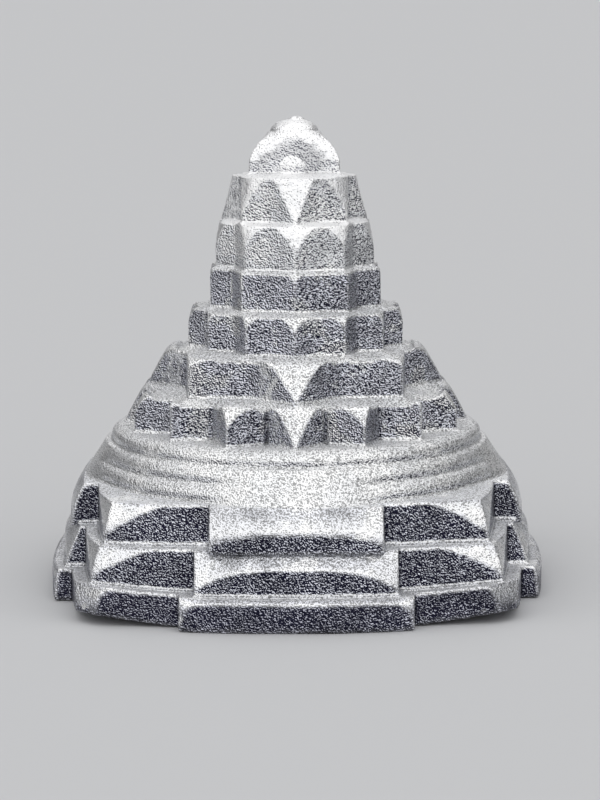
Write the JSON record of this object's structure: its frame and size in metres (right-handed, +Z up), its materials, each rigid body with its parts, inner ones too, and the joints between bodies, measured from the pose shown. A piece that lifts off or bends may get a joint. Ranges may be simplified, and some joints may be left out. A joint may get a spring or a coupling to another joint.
{
  "type": "shri yantra",
  "caption": "small solid raised shri yantra, a stepped tower of star tiers and rings on a square base with a gate on each side, with a dome at the top",
  "frame": {"origin": "centre of the flat underside, on the vertical axis of the tower", "axes": "+Z up along the tower, -Y toward the front gate, X across the gates at the sides"},
  "size_m": [0.0308, 0.0308, 0.0292],
  "materials": {
    "cast_silver": "silver-white cast metal with a fine sparkling grain, edges worn bright",
    "burnished_silver": "silver-white cast metal, smoother and handled bright on the flat patches"
  },
  "bodies": {
    "root": {"ground_square_lower_step": "burnished_silver", "ground_square_middle_step": "cast_silver", "ground_square_upper_step": "cast_silver", "ring_lower": "cast_silver", "ring_middle": "cast_silver", "ring_upper": "cast_silver", "sixteen_petal_tier": "cast_silver", "eight_petal_tier": "cast_silver", "fourteen_corner_tier": "cast_silver", "outer_ten_corner_tier": "cast_silver", "inner_ten_corner_tier": "cast_silver", "eight_corner_tier": "cast_silver", "triangle_cap": "cast_silver", "bindu": "cast_silver"}
  },
  "joints": []
}
